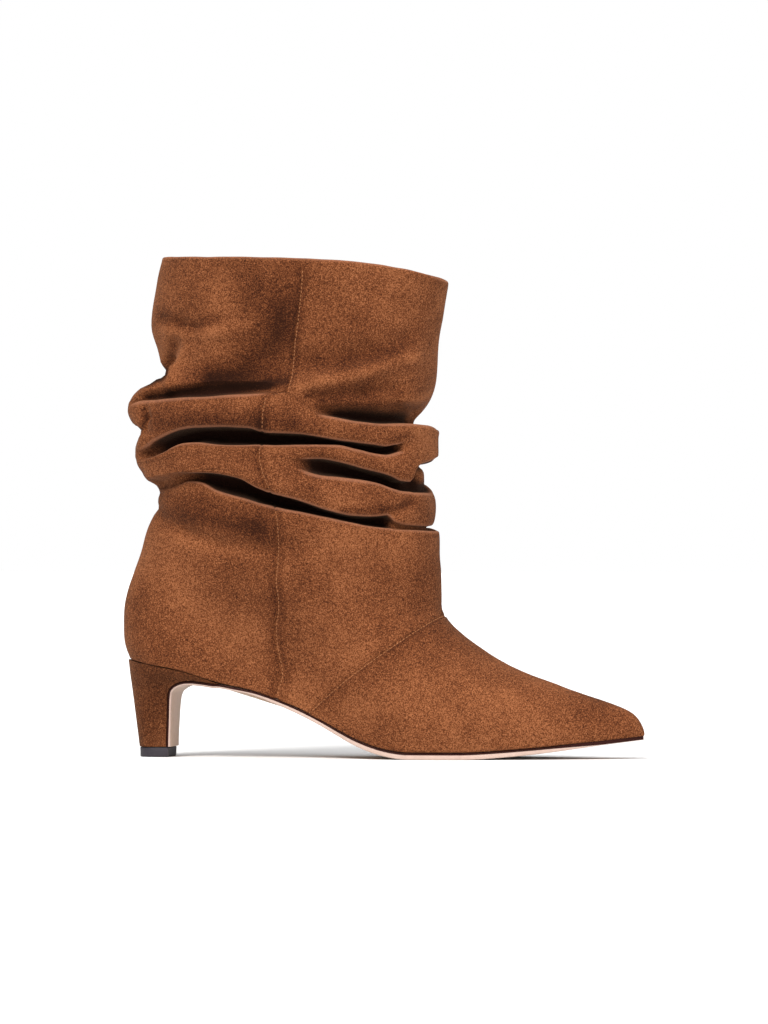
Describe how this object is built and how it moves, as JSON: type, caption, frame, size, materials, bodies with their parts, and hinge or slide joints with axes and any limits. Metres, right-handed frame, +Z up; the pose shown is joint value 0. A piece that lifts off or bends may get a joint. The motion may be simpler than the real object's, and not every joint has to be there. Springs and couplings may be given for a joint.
{
  "type": "slouch boot",
  "caption": "Right ankle boot in tan suede with a slouched, gathered shaft, a pointed toe and a slim tapered covered heel.",
  "frame": {"origin": "on the floor, in the flat tread of the heel tip and under its middle", "axes": "+X from heel to toe, +Y to the inner side of the foot, +Z up; the boot stands on the heel tip and the ball at Z 0"},
  "size_m": [0.264, 0.0966, 0.253],
  "materials": {
    "suede": "matt napped suede, warm tan",
    "sole_leather": "smooth natural leather with a dark dyed upper edge",
    "heel_cover": "matt napped suede over the heel block",
    "tip_rubber": "satin dark grey",
    "sock_leather": "smooth lining leather"
  },
  "bodies": {
    "root": {"upper": "suede", "outsole": "sole_leather", "heel": "heel_cover", "top_piece": "tip_rubber", "insole": "sock_leather"}
  },
  "joints": []
}
